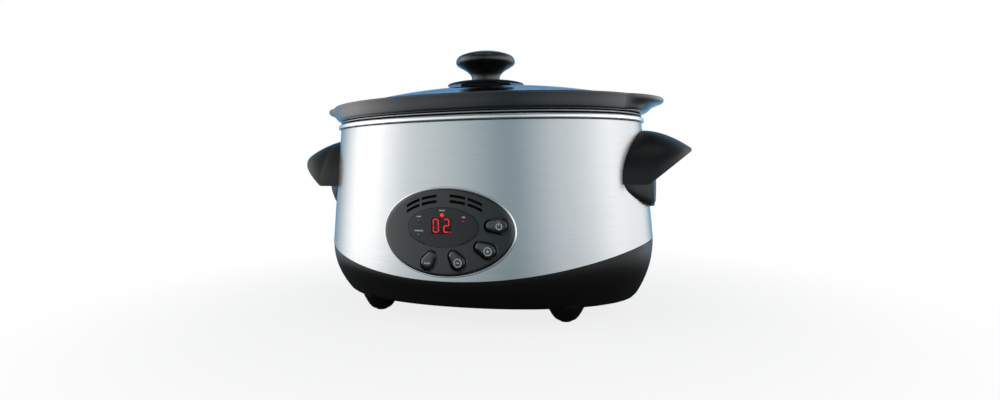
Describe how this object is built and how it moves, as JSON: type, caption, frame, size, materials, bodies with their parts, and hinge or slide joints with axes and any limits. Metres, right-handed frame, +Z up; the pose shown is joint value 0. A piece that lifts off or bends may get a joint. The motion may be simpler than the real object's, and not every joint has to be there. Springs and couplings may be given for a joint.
{
  "type": "slow cooker",
  "caption": "Oval electric slow cooker: brushed steel wall on a black base, hooded side handles, lift-out crock, domed glass lid and a control panel with push buttons.",
  "frame": {"origin": "centre of the footprint, on the surface that the feet stand on", "axes": "+X to the right along the long side, -Y to the front with the control panel, +Z up"},
  "size_m": [0.403, 0.2485, 0.2592],
  "materials": {
    "brushed_wall": "stainless wall with fine grain that runs round the body",
    "polished_trim": "bright polished ring",
    "liner": "drawn aluminised sheet, satin",
    "heater": "mica and fibre band",
    "insulation": "needled glass-fibre wrap",
    "shield": "zinc-plated pressed sheet",
    "black_plastic": "black moulded plastic, soft gloss",
    "handle_plastic": "black moulded plastic, satin",
    "knob_plastic": "black phenolic, polished",
    "panel_plastic": "dark grey moulded panel, soft gloss",
    "inlay": "dark printed inlay",
    "button_plastic": "glossy dark button caps",
    "display_window": "smoked clear window over red digits",
    "led_lit": "lit red lamp",
    "led_dark": "unlit red lamp",
    "rubber": "moulded rubber",
    "fixing": "plated steel fixings",
    "sensor": "metal sensor case",
    "board": "green circuit board",
    "coil": "taped transformer",
    "component": "black component body",
    "crock_glaze": "black glossy glaze on stoneware",
    "lid_glass": "clear tempered glass"
  },
  "bodies": {
    "housing": {"base": "black_plastic", "base_screw_1": "fixing", "base_screw_2": "fixing", "base_screw_3": "fixing", "base_screw_4": "fixing", "cord_gland": "rubber", "digit_display": "component", "display_board": "board", "display_window": "display_window", "foot_pad_1": "rubber", "foot_pad_2": "rubber", "foot_pad_3": "rubber", "foot_pad_4": "rubber", "handle_screw_1": "fixing", "handle_screw_2": "fixing", "handle_screw_3": "fixing", "handle_screw_4": "fixing", "heat_shield": "shield", "heater_band": "heater", "heating_bowl": "liner", "insulation_wrap": "insulation", "led_1": "led_lit", "led_2": "led_dark", "led_3": "led_dark", "led_4": "led_dark", "left_handle": "handle_plastic", "outer_shell": "brushed_wall", "panel_fascia": "panel_plastic", "panel_inlay": "inlay", "power_board": "board", "relay": "component", "right_handle": "handle_plastic", "tact_switch_1": "component", "tact_switch_2": "component", "tact_switch_3": "component", "tact_switch_4": "component", "temperature_sensor": "sensor", "thermal_fuse": "sensor", "tie_bolt": "fixing", "tie_nut": "fixing", "transformer": "coil", "trim_ring": "polished_trim"},
    "crock": {"crock": "crock_glaze"},
    "lid": {"lid_glass": "lid_glass", "knob": "knob_plastic", "knob_skirt": "knob_plastic", "knob_seal": "rubber", "knob_washer": "fixing", "knob_screw": "fixing"},
    "button_mode": {"button_mode": "button_plastic"},
    "button_minus": {"button_minus": "button_plastic"},
    "button_plus": {"button_plus": "button_plastic"},
    "button_power": {"button_power": "button_plastic"}
  },
  "joints": [
    {"name": "crock_lift", "type": "slide", "parent": "housing", "child": "crock", "axis": [0, 0, 1], "range_m": [0, 0.18]},
    {"name": "lid_lift", "type": "slide", "parent": "crock", "child": "lid", "axis": [0, 0, 1], "range_m": [0, 0.12]},
    {"name": "button_mode_press", "type": "slide", "parent": "housing", "child": "button_mode", "axis": [0, 1, 0], "range_m": [0, 0.001], "stiffness_N_per_m": 900, "springref_m": -0.0005},
    {"name": "button_minus_press", "type": "slide", "parent": "housing", "child": "button_minus", "axis": [0, 1, 0], "range_m": [0, 0.001], "stiffness_N_per_m": 900, "springref_m": -0.0005},
    {"name": "button_plus_press", "type": "slide", "parent": "housing", "child": "button_plus", "axis": [0, 1, 0], "range_m": [0, 0.001], "stiffness_N_per_m": 900, "springref_m": -0.0005},
    {"name": "button_power_press", "type": "slide", "parent": "housing", "child": "button_power", "axis": [0, 1, 0], "range_m": [0, 0.001], "stiffness_N_per_m": 900, "springref_m": -0.0005}
  ]
}
